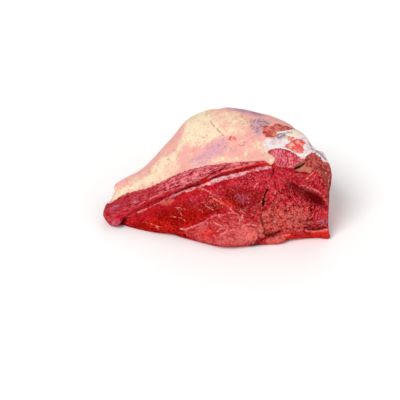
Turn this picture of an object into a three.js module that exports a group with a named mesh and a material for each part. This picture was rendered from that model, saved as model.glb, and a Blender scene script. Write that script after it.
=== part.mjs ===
// A raw beef top round: the boned-out inside of the thigh, lying with its lean face forward and its fat cap up.
// The muscles and the fat are grown together, so the whole piece is one solid.
// Millimetres. x runs from the thin tip to the thick cut end, y from the lean front to the fat-covered back,
// and z up from the flat sole. The origin is on the sole, under the middle of the piece.

import * as THREE from "three";
import { ImprovedNoise } from "three/addons/math/ImprovedNoise.js";

// Ribs from the tip to the cut end. foot and heel are where the section meets the ground, in front and behind.
// seam is the mouth of the groove under the cap muscle and groove its depth, ridge is where lean turns to fat,
// crown is the height of the top, and rim is the shoulder from which the back falls away. Pairs are [y, z].
const RIBS = [
  { x: -110, foot: -56, seam: [-61, 19], groove: 0, ridge: [-46, 33], crown: 34, rim: [-24, 25], heel: -24 },
  { x: -99, foot: -57, seam: [-62, 12], groove: 2, ridge: [-39, 34], crown: 39, rim: [4, 32], heel: 12 },
  { x: -70, foot: -67, seam: [-57, 26], groove: 8, ridge: [-40, 44], crown: 53, rim: [13, 46], heel: 38 },
  { x: -42, foot: -76, seam: [-57, 44], groove: 8, ridge: [-39, 59], crown: 78, rim: [24, 76], heel: 62 },
  { x: -12, foot: -87, seam: [-58, 63], groove: 7, ridge: [-42, 76], crown: 108, rim: [38, 103], heel: 80 },
  { x: 25, foot: -98, seam: [-60, 80], groove: 6, ridge: [-53, 91], crown: 120, rim: [37, 116], heel: 91 },
  { x: 65, foot: -99, seam: [-60, 92], groove: 4, ridge: [-57, 100], crown: 123, rim: [31, 115], heel: 94 },
  { x: 105, foot: -90, seam: [-59, 91], groove: 1, ridge: [-54, 100], crown: 118, rim: [18, 109], heel: 90 },
  { x: 140, foot: -83, seam: [-68, 84], groove: 0, ridge: [-62, 95], crown: 101, rim: [-16, 91], heel: 76 },
  { x: 159, foot: -82, seam: [-73, 76], groove: 0, ridge: [-66, 87], crown: 90, rim: [-45, 82], heel: 56 },
];
const TIP = new THREE.Vector3(-123, -49, 17);
const END_CENTRE = new THREE.Vector3(162, -25, 34);
const END_LEAN = 0.02; // the cut end leans in by this share of its height

// How far each stretch of a section swells past the straight line between the ribs' named points.
const FACE_SWELL = 7;
const CAP_SWELL = 0.22; // this one as a share of its own length
const BACK_SWELL = 9;
const FOOT_TUCK = 4; // the front overhangs its line on the ground by this
const FOOT_HEIGHT = 9;
const FULL_HEIGHT = 80; // a section lower than this swells in proportion
const FULL_GROOVE = 8; // where the seam's groove is less deep, its two sides stand out less
const SEAM_EDGE = { out: 2.5, down: 5 }; // the main muscle's edge, proud below the groove
const SEAM_BROW = { out: 2, up: 3.5 }; // the cap muscle's edge, hanging over it

// The faces that relief is drawn on: the two axes that places on it are measured along, and where it looks.
const FACES = {
  front: { across: "x", up: "z", out: new THREE.Vector3(0, -1, 0) },
  back: { across: "x", up: "z", out: new THREE.Vector3(0, 1, 0) },
  top: { across: "x", up: "y", out: new THREE.Vector3(0, 0, 1) },
  end: { across: "y", up: "z", out: new THREE.Vector3(1, 0, 0) },
};

// Mounds, and dents where the height is negative: a centre and half sizes on a face, and a height.
const MOUNDS = [
  { name: "apron lobe", face: "front", at: [34, 12], size: [48, 28], height: 4 },
  { name: "apron ledge", face: "front", at: [10, 31], size: [36, 11], height: 1.5 },
  { name: "cheek of the overhanging muscle", face: "front", at: [126, 80], size: [38, 22], height: 4 },
  { name: "low lobe by the cut end", face: "front", at: [142, 31], size: [17, 10], height: 2.5 },
  { name: "band at the front corner", face: "front", at: [146, 11], size: [22, 10], height: 3.5 },
  { name: "fold beside the band", face: "front", at: [112, 19], size: [17, 10], height: 2 },
  { name: "loose flap at the foot", face: "front", at: [90, 8], size: [20, 8], height: 2.5 },
  { name: "hollow in the main muscle", face: "front", at: [44, 60], size: [40, 18], height: -2 },
  { name: "nub under the tip", face: "front", at: [-105, 6], size: [7, 8], height: 2.5 },
  { name: "notch between the tip and the main muscle", face: "front", at: [-97, 2], size: [6, 12], height: -3 },
  { name: "end of the fat pad", face: "top", at: [-96, -10], size: [16, 26], height: 4 },
  { name: "dip in the fat cap", face: "top", at: [4, 6], size: [18, 60], height: -2 },
  { name: "dip over the cut end", face: "top", at: [112, -26], size: [24, 30], height: -2 },
  { name: "roll low on the back", face: "back", at: [20, 28], size: [84, 30], height: 4 },
  { name: "hollow high on the back", face: "back", at: [88, 80], size: [48, 26], height: -4 },
  { name: "heel of the inner muscle", face: "back", at: [128, 22], size: [36, 26], height: 5 },
  { name: "hollow behind the front corner", face: "end", at: [-78, 44], size: [30, 28], height: -4 },
  { name: "belly of the cut end", face: "end", at: [-34, 64], size: [34, 20], height: 4 },
  { name: "eye of the cut end", face: "end", at: [-22, 22], size: [40, 20], height: 4 },
];

// Creases, and rolls where the depth is negative: a path over a face, a half width and a depth. They taper off
// towards both ends of the path, so one that runs out over an edge has its last point beyond it.
const CREASES = [
  {
    name: "recess under the overhang",
    face: "front",
    path: [[88, 88], [101, 72], [114, 60], [128, 53], [141, 47], [153, 41], [162, 36]],
    width: 10,
    depth: 7,
  },
  {
    name: "lip of the overhang",
    face: "front",
    path: [[96, 94], [109, 79], [123, 68], [139, 61], [156, 52], [176, 42]],
    width: 9,
    depth: -4,
  },
  { name: "crease over the band", face: "front", path: [[120, 20], [140, 20], [176, 24]], width: 5, depth: 4 },
  { name: "side of the apron lobe", face: "front", path: [[72, 44], [78, 28], [79, 12]], width: 6, depth: 4 },
  { name: "crease over the flap", face: "front", path: [[72, 16], [92, 16], [112, 11]], width: 5, depth: 4 },
  {
    name: "fold across the back",
    face: "back",
    path: [[-50, 24], [-6, 52], [40, 66], [84, 60], [122, 44], [176, 40]],
    width: 14,
    depth: 4,
  },
  {
    name: "seam across the cut end",
    face: "end",
    path: [[-96, 66], [-60, 54], [-30, 44], [2, 46], [44, 26]],
    width: 9,
    depth: 4,
  },
];
const TAPER = 0.25;

// The skin's own unevenness, in layers: how wide the lumps are and how high.
const LUMPS = [
  { width: 46, height: 2.2 },
  { width: 19, height: 1.1 },
];
const RELIEF_RISE = 10; // relief fades in over this height above the ground, so the sole stays flat

// The mesh: sections between two ribs, rings that close each end, and rows along each stretch of a section.
const SECTIONS_PER_RIB = 8;
const TIP_RINGS = 4;
const END_RINGS = 9;
const STRETCH_ROWS = [2, 13, 11, 2, 2, 2, 3, 8, 7, 6, 6, 2, 2];
const PATH_SAMPLES = 40;

// A point on the line from a to b, pushed out to its left by swell. Points are [y, z].
function between(a, b, share, swell) {
  const dy = b[0] - a[0];
  const dz = b[1] - a[1];
  const length = Math.hypot(dy, dz) || 1;
  return [
    a[0] + dy * share - (dz / length) * swell,
    a[1] + dz * share + (dy / length) * swell,
  ];
}

// The closed ring of named points of one rib, from the front foot up, over the top and round under the sole.
function ribPoints(rib) {
  const size = Math.min(1, rib.crown / FULL_HEIGHT);
  const foot = [rib.foot, 0];
  const heel = [rib.heel, 0];
  const bulge = [rib.foot - FOOT_TUCK * size, FOOT_HEIGHT * size];
  const [seamY, seamZ] = rib.seam;
  const open = rib.groove / FULL_GROOVE;
  const edge = [seamY - SEAM_EDGE.out * open, seamZ - SEAM_EDGE.down * size];
  const floor = [seamY + rib.groove, seamZ];
  const brow = [seamY - SEAM_BROW.out * open, seamZ + SEAM_BROW.up * size];
  const belly = between(bulge, rib.seam, 0.5, FACE_SWELL * size);
  const strip = Math.hypot(rib.ridge[0] - brow[0], rib.ridge[1] - brow[1]);
  const cap = between(brow, rib.ridge, 0.5, CAP_SWELL * strip);
  const crown = [(rib.ridge[0] + rib.rim[0]) / 2, rib.crown];
  const back = between(rib.rim, heel, 0.5, BACK_SWELL * size);
  const sole = [(rib.foot + rib.heel) / 2, 0];
  const ring = [foot, bulge, belly, edge, floor, brow, cap, rib.ridge, crown, rib.rim, back, heel, sole];
  return ring.map(([y, z]) => new THREE.Vector3(rib.x, y, z));
}

const ribRings = RIBS.map(ribPoints);
const rails = ribRings[0].map((_, k) => new THREE.CatmullRomCurve3(ribRings.map((ring) => ring[k])));

// One row of vertices round the section at share s of the way from the first rib to the last.
function section(s) {
  const ring = new THREE.CatmullRomCurve3(rails.map((rail) => rail.getPoint(s)), true);
  const row = [];
  STRETCH_ROWS.forEach((count, stretch) => {
    for (let i = 0; i < count; i++) row.push(ring.getPoint((stretch + i / count) / STRETCH_ROWS.length));
  });
  return row;
}

// Rings that draw a row in to a pole. shape(point, share) gives where a point has moved by then.
function closingRings(row, count, shape) {
  const rings = [];
  for (let k = 1; k < count; k++) rings.push(row.map((point) => shape(point, k / count)));
  return rings;
}

function roundTip(point, share) {
  const angle = (share * Math.PI) / 2;
  const x = THREE.MathUtils.lerp(point.x, TIP.x, Math.sin(angle));
  const across = TIP.clone().lerp(point, Math.cos(angle));
  return new THREE.Vector3(x, across.y, across.z);
}

function cutEnd(point, share) {
  const x = THREE.MathUtils.lerp(END_CENTRE.x, point.x, (1 - share) ** 4);
  const across = point.clone().lerp(END_CENTRE, share);
  return new THREE.Vector3(x, across.y, across.z);
}

// One closed skin over all the rows, with a fan of triangles to each pole.
function skin(rows, first, last) {
  const width = rows[0].length;
  const positions = [...rows.flat(), first, last].flatMap((p) => [p.x, p.y, p.z]);
  const firstPole = rows.length * width;
  const lastPole = firstPole + 1;
  const lastRow = (rows.length - 1) * width;
  const index = [];
  for (let j = 0; j < width; j++) {
    const next = (j + 1) % width;
    for (let start = 0; start < lastRow; start += width) {
      const a = start + j;
      const b = start + next;
      index.push(a, a + width, b, b, a + width, b + width);
    }
    index.push(firstPole, j, next);
    index.push(lastPole, lastRow + next, lastRow + j);
  }
  const geometry = new THREE.BufferGeometry();
  geometry.setAttribute("position", new THREE.Float32BufferAttribute(positions, 3));
  geometry.setIndex(index);
  geometry.computeVertexNormals();
  return geometry;
}

// 1 at the middle, 0 from a distance of 1 on, with a soft shoulder.
const hill = (distance) => 1 - THREE.MathUtils.smoothstep(distance, 0, 1);

// A place on a face, from the two axes that the face is measured along.
const onFace = (point, face) => new THREE.Vector2(point[face.across], point[face.up]);

function moundRise(point, mound) {
  const gap = onFace(point, FACES[mound.face]).sub(mound.centre);
  return mound.height * hill(Math.hypot(gap.x / mound.size[0], gap.y / mound.size[1]));
}

function creaseRise(point, crease) {
  const place = onFace(point, FACES[crease.face]);
  const gaps = crease.samples.map((sample) => sample.distanceTo(place));
  const nearest = Math.min(...gaps);
  const share = gaps.indexOf(nearest) / PATH_SAMPLES;
  const taper = THREE.MathUtils.smoothstep(Math.min(share, 1 - share), 0, TAPER);
  return -crease.depth * taper * hill(nearest / crease.width);
}

const noise = new ImprovedNoise();
const lumpRise = (point, { width, height }) => {
  return height * noise.noise(point.x / width, point.y / width, point.z / width);
};

const mounds = MOUNDS.map((mound) => ({ ...mound, centre: new THREE.Vector2(...mound.at) }));
const creases = CREASES.map((crease) => {
  const curve = new THREE.SplineCurve(crease.path.map((p) => new THREE.Vector2(...p)));
  return { ...crease, samples: curve.getPoints(PATH_SAMPLES) };
});

// How the relief moves a point of the skin: each form along its own face's direction, and only where the skin
// looks that way, and the lumps along the normal.
function relief(point, normal) {
  const move = new THREE.Vector3();
  const add = (form, height) => {
    const { out } = FACES[form.face];
    move.addScaledVector(out, height * THREE.MathUtils.smoothstep(normal.dot(out), 0.05, 0.45));
  };
  for (const mound of mounds) add(mound, moundRise(point, mound));
  for (const crease of creases) add(crease, creaseRise(point, crease));
  for (const lump of LUMPS) move.addScaledVector(normal, lumpRise(point, lump));
  return move.multiplyScalar(THREE.MathUtils.smoothstep(point.z, 0, RELIEF_RISE));
}

const steps = (RIBS.length - 1) * SECTIONS_PER_RIB;
const rows = [];
for (let i = 0; i <= steps; i++) rows.push(section(i / steps));
rows.unshift(...closingRings(rows[0], TIP_RINGS, roundTip).reverse());
rows.push(...closingRings(rows.at(-1), END_RINGS, cutEnd));
const geometry = skin(rows, TIP, END_CENTRE);

// Raises the relief, lets the sole lie flat, and leans the cut end in.
const places = geometry.attributes.position;
const normals = geometry.attributes.normal;
for (let i = 0; i < places.count; i++) {
  const point = new THREE.Vector3().fromBufferAttribute(places, i);
  const normal = new THREE.Vector3().fromBufferAttribute(normals, i);
  point.add(relief(point, normal));
  point.z = Math.max(0, point.z);
  point.x -= THREE.MathUtils.smoothstep(point.x, 100, 157) * END_LEAN * point.z;
  places.setXYZ(i, point.x, point.y, point.z);
}

geometry.computeBoundingBox();
const middle = geometry.boundingBox.getCenter(new THREE.Vector3());
geometry.translate(-middle.x, -middle.y, 0);
geometry.computeVertexNormals();

const meat = new THREE.MeshStandardMaterial({ color: 0x9c2430, roughness: 0.45, metalness: 0 });
const beef = new THREE.Mesh(geometry, meat);
beef.name = "beef_top_round";

const part = new THREE.Group();
part.add(beef);
export default part;
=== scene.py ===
# %% [markdown]
# # A raw beef top round
#
# The real object is one boned-out piece of the inside thigh. Its front is lean meat: a smooth main muscle on
# the left, meat cut across the grain on the right, and a strip of a second muscle above a long seam. Its top
# and back are covered by fat, cream where the fat is thick and pink where it is thin, with silver skin
# towards the cut end.
#
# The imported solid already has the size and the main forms. This lesson takes a copy of it, gives it a finer
# skin, carves the small forms into that skin, paints masks on it, and lets one material read the masks.

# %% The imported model, loaded as a fixed frame
import math

import bmesh
import bpy
import numpy as np
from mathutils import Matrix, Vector, noise


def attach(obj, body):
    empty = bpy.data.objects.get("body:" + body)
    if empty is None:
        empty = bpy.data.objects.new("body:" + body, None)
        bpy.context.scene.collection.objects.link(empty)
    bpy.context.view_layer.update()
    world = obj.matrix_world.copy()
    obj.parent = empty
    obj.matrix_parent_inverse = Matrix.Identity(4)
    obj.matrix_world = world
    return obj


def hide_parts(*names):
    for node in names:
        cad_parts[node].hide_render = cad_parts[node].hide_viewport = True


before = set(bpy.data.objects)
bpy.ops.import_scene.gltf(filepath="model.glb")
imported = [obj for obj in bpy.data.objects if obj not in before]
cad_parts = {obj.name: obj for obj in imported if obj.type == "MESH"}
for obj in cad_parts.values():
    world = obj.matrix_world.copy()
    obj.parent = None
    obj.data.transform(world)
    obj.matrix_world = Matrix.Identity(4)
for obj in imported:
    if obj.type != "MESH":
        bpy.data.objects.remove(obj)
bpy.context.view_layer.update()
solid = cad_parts["beef_top_round"]
MM = 0.001

# %% [markdown]
# ## The camera first
#
# The photograph looks down on the meat at 35 degrees from a little over a metre. The same numbers serve
# twice. They place the camera, and they tell where any point of the skin shows in the photograph's frame of
# 400 by 400. So a crease or a patch of fat can be drawn where the photograph has it, and it still lies on the
# solid.

# %% The photograph's camera
PHOTO_SIZE = 400
FOCAL_PIXELS = 944.0
MM_PER_PIXEL = 1.3
SENSOR_WIDTH = 36.0
CAMERA_TILT = math.radians(35)
CAMERA_DISTANCE = 1.227
AIM = Vector((-21.5, 5.9, 0)) * MM
FORWARD = Vector((0, math.cos(CAMERA_TILT), -math.sin(CAMERA_TILT)))
UPWARD = Vector((0, math.sin(CAMERA_TILT), math.cos(CAMERA_TILT)))
EYE = AIM - FORWARD * CAMERA_DISTANCE


def in_photo(places):
    """Where points, in metres, show in the photograph's frame: columns from the left, rows from the top."""
    gaps = places - np.array(EYE)
    depth = gaps @ np.array(FORWARD)
    columns = PHOTO_SIZE / 2 + FOCAL_PIXELS * gaps[:, 0] / depth
    rows = PHOTO_SIZE / 2 - FOCAL_PIXELS * (gaps @ np.array(UPWARD)) / depth
    return np.stack([columns, rows], axis=1)


camera_data = bpy.data.cameras.new("camera")
camera_data.sensor_width = SENSOR_WIDTH
camera_data.lens = FOCAL_PIXELS / PHOTO_SIZE * SENSOR_WIDTH
camera = bpy.data.objects.new("camera", camera_data)
camera.location = EYE
camera.rotation_euler = (math.pi / 2 - CAMERA_TILT, 0, 0)
bpy.context.scene.collection.objects.link(camera)
bpy.context.scene.camera = camera
print("lens, mm:", round(camera_data.lens, 1))

# %% [markdown]
# ## A finer skin
#
# The solid has facets of about four millimetres, too coarse for meat. A copy is welded, then a Remesh
# modifier in Voxel mode gives it even squares of a little over a millimetre, about the size of one pixel of
# the photograph. Smoothing takes the old facets out. Subdividing would also work, but it would keep the old,
# uneven triangles.

# %% Copy, weld, remesh and smooth
VOXEL = 1.38 * MM
WELD = 0.01 * MM
SMOOTH_PASSES = 9
SMOOTH_FACTOR = 0.5


def remeshed_copy(node, name):
    """A welded copy of a CAD node with an even, fine skin."""
    mesh = bpy.data.meshes.new(name)
    bm = bmesh.new()
    bm.from_mesh(node.data)
    bmesh.ops.remove_doubles(bm, verts=bm.verts, dist=WELD)
    bm.to_mesh(mesh)
    bm.free()
    piece = bpy.data.objects.new(name, mesh)
    bpy.context.scene.collection.objects.link(piece)
    remesh = piece.modifiers.new("even skin", "REMESH")
    remesh.mode = "VOXEL"
    remesh.voxel_size = VOXEL
    remesh.use_smooth_shade = True
    evaluated = piece.evaluated_get(bpy.context.evaluated_depsgraph_get())
    piece.data = bpy.data.meshes.new_from_object(evaluated)
    piece.modifiers.clear()
    return piece


def smoothed(piece, passes, chosen=None):
    """Smooths a piece, or only the vertices with the chosen numbers."""
    bm = bmesh.new()
    bm.from_mesh(piece.data)
    bm.verts.ensure_lookup_table()
    verts = bm.verts if chosen is None else [bm.verts[number] for number in chosen]
    axes = {"use_axis_x": True, "use_axis_y": True, "use_axis_z": True}
    for _ in range(passes):
        bmesh.ops.smooth_vert(bm, verts=verts, factor=SMOOTH_FACTOR, **axes)
    bm.to_mesh(piece.data)
    bm.free()


beef = remeshed_copy(solid, "raw_beef")
smoothed(beef, SMOOTH_PASSES)
print("skin:", len(beef.data.vertices), "vertices,", len(beef.data.polygons), "faces")

# %% Reading and moving the skin's vertices


def read(piece, kind):
    """The places ("co") or the normals ("normal") of all vertices, a row for each."""
    values = np.empty(len(piece.data.vertices) * 3)
    piece.data.vertices.foreach_get(kind, values)
    return values.reshape(-1, 3)


def put(piece, places):
    piece.data.vertices.foreach_set("co", places.ravel())
    piece.data.update()


def paint(piece, name, values):
    """Keeps one number for each vertex, for the material to read."""
    attribute = piece.data.attributes.new(name, "FLOAT", "POINT")
    attribute.data.foreach_set("value", np.asarray(values, dtype=np.float32))


print("highest vertex, mm:", round(float(read(beef, "co")[:, 2].max()) / MM, 1))

# %% [markdown]
# ## Two ways to say where
#
# The visible side is described in the photograph's frame, by short paths and outlines. Each helper gives a
# distance in millimetres, because one pixel is about 1.3 mm on the meat. The back, the cut end and the sole
# are not in the photograph, so they are described in the frame's own millimetres. A share called seen blends
# the two.

# %% Distances to paths and outlines
TINY = 1e-9


def rounded(points, closed=False, steps=5):
    """A smooth line through a few points."""
    points = [np.array(p, float) for p in points]
    if closed:
        points = [points[-1], *points, points[0], points[1]]
    else:
        points = [2 * points[0] - points[1], *points, 2 * points[-1] - points[-2]]
    line = []
    for a, b, c, d in zip(points, points[1:], points[2:], points[3:]):
        for t in np.arange(steps) / steps:
            start = 2 * b + (c - a) * t
            line.append(0.5 * (start + (2 * a - 5 * b + 4 * c - d) * t**2 + (3 * b - a - 3 * c + d) * t**3))
    return np.array(line + [points[-2]])


def to_path(spots, line):
    """Distance to a line, positive on its left, and how much of the line lies before the nearest spot."""
    nearest = np.full(len(spots), np.inf)
    side = np.ones(len(spots))
    share = np.zeros(len(spots))
    for k, (a, b) in enumerate(zip(line, line[1:])):
        run = b - a
        t = np.clip(((spots - a) @ run) / max(run @ run, TINY), 0, 1)
        away = spots - (a + t[:, None] * run)
        gap = np.linalg.norm(away, axis=1)
        closer = gap < nearest
        nearest[closer] = gap[closer]
        side[closer] = np.sign(run[1] * away[closer, 0] - run[0] * away[closer, 1])
        share[closer] = (k + t[closer]) / (len(line) - 1)
    return nearest * np.where(side == 0, 1, side), share


def into_outline(spots, outline):
    """Distance to a closed outline, positive inside."""
    line = rounded(outline, closed=True)
    gap = np.abs(to_path(spots, line)[0])
    inside = np.zeros(len(spots), bool)
    for a, b in zip(line, line[1:]):
        crosses = (a[1] > spots[:, 1]) != (b[1] > spots[:, 1])
        rise = np.where(b[1] == a[1], TINY, b[1] - a[1])
        reach = a[0] + (spots[:, 1] - a[1]) * (b[0] - a[0]) / rise
        inside ^= crosses & (spots[:, 0] < reach)
    return np.where(inside, gap, -gap)


def step(low, high, value):
    """0 below low, 1 above high, and a soft slope between them."""
    t = np.clip((value - low) / (high - low), 0, 1)
    return t * t * (3 - 2 * t)


def hill(distance):
    """1 at no distance, 0 from a distance of 1 on."""
    return 1 - step(0, 1, np.abs(distance))


print("a hill at 0, a half and 1:", hill(np.array([0, 0.5, 1])))

# %% [markdown]
# ## Closing the trench of the seam
#
# In the solid the seam is a trench, wide enough for a coarse mesh. On the meat the two muscles touch, and
# only a narrow crease is left between them. Smoothing a band of the skin over and over closes the trench like
# a membrane, and the narrow crease is carved later.

# %% Smooth a band along the seam
SEAM = [
    (117, 227.5), (123.3, 222.4), (130.7, 214.6), (155, 202.4), (181.1, 190.2), (203.8, 181.6), (220, 175.6),
    (236, 171.2), (250, 167.8), (264, 165), (269.5, 163),
]
BAND = 9.0  # millimetres on each side
BAND_START = 0.12  # the share of the seam that is left out at the tip
BAND_TURN = 0.4  # normals that point further back than this are on the far side
BAND_PASSES = 160

band_gap, band_share = to_path(in_photo(read(beef, "co")), rounded(SEAM))
near_seam = (np.abs(band_gap) * MM_PER_PIXEL < BAND) & (band_share > BAND_START)
band = np.flatnonzero(near_seam & (read(beef, "normal")[:, 1] < BAND_TURN))
smoothed(beef, BAND_PASSES, band)
print("vertices in the band:", len(band))

# %% What the photograph sees of the skin
SEEN_FROM = (-0.05, 0.1)  # the cosine between a normal and the line to the camera: hidden below, seen above
places = read(beef, "co")
normals = read(beef, "normal")
spots = in_photo(places)
sight = places - np.array(EYE)
sight /= np.linalg.norm(sight, axis=1)[:, None]
seen = step(*SEEN_FROM, -(normals * sight).sum(axis=1))
hidden = 1 - seen
print("seen share of the skin:", round(float(seen.mean()), 2))

# %% Brushes for the seen side, in millimetres
FAR = 8


def deepest(*outlines):
    """How far inside any of some outlines each vertex shows."""
    return np.max([into_outline(spots, outline) for outline in outlines], axis=0) * MM_PER_PIXEL


def nearest_line(*paths):
    return np.min([np.abs(to_path(spots, rounded(path))[0]) for path in paths], axis=0) * MM_PER_PIXEL


def drawn(distance):
    """A distance that only the seen side has; the hidden side is far from everything."""
    return np.minimum(distance, FAR) * seen + FAR * hidden


def brushed(low, high, *outlines):
    """Outlines filled in: 0 up to one distance inside their edge, 1 from another on."""
    return step(low, high, deepest(*outlines)) * seen


print("vertices within 5 mm of the seam:", int((drawn(nearest_line(SEAM)) < 5).sum()))

# %% [markdown]
# ## The borders between fat and lean
#
# On the real piece the fat ends in a clean edge where the butcher's knife ran. Left of the middle this is the
# ridge above the strip of cap muscle. On the right the edge turns up and round a patch of bared meat. Behind,
# the fat runs down to near the ground, and the cut end is bare of it but for a rim.

# %% Where fat covers the meat, in millimetres inside its edge
RIDGE = [
    (112, 199), (120, 196), (130.7, 192.5), (150.2, 187.6), (168, 178.2), (187.6, 170.6), (203.8, 166.6),
    (226.6, 163.2), (252.6, 161.4), (265, 161), (271.5, 164.5),
]
PATCH_EDGE = [
    (274.8, 158), (267.6, 152.5), (274, 148.8), (286.3, 149.8), (295.5, 154.2), (303.6, 159.4), (306.4, 156),
    (311, 153.6), (315.4, 154), (320, 158), (326.5, 162.6),
]
OVER_THE_TOP = [(345, 160), (345, 80), (80, 80), (90, 190), (104, 201)]
FAT_HEEL = 14.0  # behind, the fat ends about this far above the ground
FAT_TIP = -124.0  # and this far along x towards the tip
FAT_SWAY, FAT_WAVE = 9.0, 34  # how far this edge sways, and how wide its waves are
END_TURN, END_WIDTH = 0.75, 40  # the cut end begins where normals point this much along x
FRONT_TURN = -0.3  # normals that point further to the front belong to the lean
CLEAR = 20  # a distance from the edge that is far enough


def sway(points, width, seed):
    """Smooth random numbers around 0 for each point, with waves of a given width in millimetres."""
    offset = Vector((seed * 17.3, seed * 5.1, seed * 9.7))
    scale = 1 / (width * MM)
    return np.array([noise.noise(Vector(p) * scale + offset) for p in points])


fat_seen = deepest(RIDGE + PATCH_EDGE + OVER_THE_TOP)
fat_behind = places[:, 2] / MM - FAT_HEEL + FAT_SWAY * sway(places, FAT_WAVE, 1)
fat_behind = np.minimum(fat_behind, places[:, 0] / MM - FAT_TIP)
fat_behind = np.minimum(fat_behind, (END_TURN - normals[:, 0]) * END_WIDTH)
fat_behind = np.where(normals[:, 1] > FRONT_TURN, fat_behind, -CLEAR)
fat = np.clip(fat_seen * seen + fat_behind * hidden, -CLEAR, CLEAR)
print("fat covers", round(float((fat > 0).mean()), 2), "of the skin")

# %% [markdown]
# ## Carving the forms that are larger than the grain
#
# A sculptor would now press creases in and pull edges out. The same strokes are written here as short paths
# with a half width and a depth in millimetres. All strokes are summed and the skin moves along its normals
# once.

# %% Creases and rolls on the visible side
UPPER_SEAM = [(176, 192.4), (190, 186), (205, 179.2), (213, 173.4), (224, 169.6), (234, 167.6), (248, 164)]
LIP = [(284, 180.4), (292, 182.2), (300, 185.4), (309, 189), (317, 193), (322.4, 198.6), (324.4, 206)]
CUT = [(268.2, 188.4), (266.2, 192), (264.8, 196.8), (263, 204.4)]
STROKE_ENDS = 0.18  # the share of a stroke that fades at each end
STROKES = {
    "seam": (SEAM, 2.2, 2.2),
    "edge of the main muscle": ([(u + 0.6, v + 2.9) for u, v in SEAM[2:]], 3.2, -0.9),
    "upper seam": (UPPER_SEAM, 1.8, 1.6),
    "strip between the seams": ([(196, 180), (215, 174.5), (232, 170), (250, 166.8)], 2.6, -1),
    "notch at the tip": ([(119, 229), (121.8, 225), (123.4, 221), (127, 217)], 2.8, 4.5),
    "under the lip": ([(u - 0.5, v + 3.8) for u, v in LIP], 6, 3.2),
    "lip": ([(u + 0.5, v - 3) for u, v in LIP], 4.5, -1.6),
    "knife slit": ([(293.6, 169.4), (297, 168.2), (300.5, 166.4), (305.2, 162.8)], 2, 3.6),
    "cut": (CUT, 1.8, 2.4),
    "short crack": ([(274.2, 168.5), (273.6, 172), (273, 176.5)], 1.5, 1.5),
    "side of the apron": ([(261, 216), (263, 222), (264.3, 228.6), (266.2, 234.4)], 2, 0.9),
    "over the flap": ([(264, 234.2), (270, 234.6), (277, 233.8), (283.5, 230.8)], 2.2, 2.4),
    "under the flap": ([(255, 245), (262, 239.6), (267, 236.4), (272, 236)], 2, 1.8),
    "over the corner band": ([(303, 227.4), (309, 229), (317, 229.2), (329, 227.2)], 2.2, 2.6),
    "beside the corner band": ([(308.8, 229), (309.6, 233), (310.2, 239)], 1.8, 1.6),
    "ledge of the apron": ([(180, 229.5), (189, 227.6), (198, 223.4), (206, 219), (212, 216)], 2.6, 1.2),
    "upper ledge of the apron": ([(213, 215), (222, 213.6), (234, 215), (243, 212.6)], 2.6, 1),
    "rim of the pale lobe": ([(246, 226), (255, 228), (259.6, 235), (257, 243.5)], 2.4, 1.6),
    "valley in the main muscle": ([(222, 194), (236, 203), (246, 212)], 8, 1.2),
    "fold by the corner": ([(288, 224), (298, 220.5), (307, 221.8), (316, 218)], 2.6, 1.2),
    "fold under the lip": ([(286, 206), (286.8, 214.5), (291, 221)], 2, 1),
    "wrinkle under the crack": ([(267, 197), (272, 203), (279, 207.6), (286, 209.6)], 2, 1.4),
    "wrinkle to the apron": ([(263, 204), (258, 209), (252, 212)], 2, 1.2),
    "wrinkle in the middle": ([(293, 188.6), (293.6, 193), (294, 197)], 1.8, 1.2),
    "level wrinkle": ([(293, 205.6), (299, 205), (305, 206.6)], 1.8, 1.3),
    "wrinkle by the corner lobe": ([(303, 226.6), (308, 221.6), (313, 219), (316.6, 212)], 2.2, 1.8),
    "second wrinkle there": ([(307, 219), (311.6, 214.6), (313.6, 210)], 1.8, 1.3),
    "third wrinkle there": ([(296, 226.6), (300, 222.6), (301.6, 217)], 1.8, 1.2),
    "wrinkle over the flap": ([(272, 226), (277, 222), (284, 222.6)], 1.8, 1.1),
    "wrinkle beside the apron": ([(256, 219), (259, 224), (260, 229)], 1.8, 0.7),
    "fold in the flap": ([(262, 241.6), (270, 240.4), (279, 236)], 1.8, 1.2),
    "over the red lobe": ([(283.5, 231), (288, 229), (294, 231)], 2, 1.4),
    "cut in the cheek": ([(283, 166.5), (290, 170), (300, 173), (310, 173.5)], 2.2, 1.2),
    "line in the fat": ([(211, 122.5), (214, 126.4), (217.6, 129.8), (223.5, 135.8)], 1.6, 1.2),
    "ring in the fat": ([(228, 116.8), (238, 116.8), (246, 120.6), (247.6, 126), (242, 133)], 1.8, 0.6),
    "hem of the silver skin": ([(275, 149.4), (286.3, 150), (295.5, 154.4), (303, 158.6)], 2, -1),
    "hem at the rim": ([(306, 156), (311, 152.4), (318.5, 153), (325, 158)], 2.2, -1.4),
    "rim line": ([(288, 124.8), (298, 129.6), (307, 137.6)], 1.8, 1.2),
}


def stroke_relief():
    """How far each vertex is pressed in or pulled out by the strokes, in millimetres."""
    total = np.zeros(len(spots))
    for path, half_width, depth in STROKES.values():
        gap, share = to_path(spots, rounded(path))
        ends = step(0, STROKE_ENDS, np.minimum(share, 1 - share))
        total -= depth * ends * hill(gap * MM_PER_PIXEL / half_width)
    return total * seen


carving = stroke_relief()
print("strokes:", len(STROKES), "deepest, mm:", round(float(carving.min()), 1))

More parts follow.
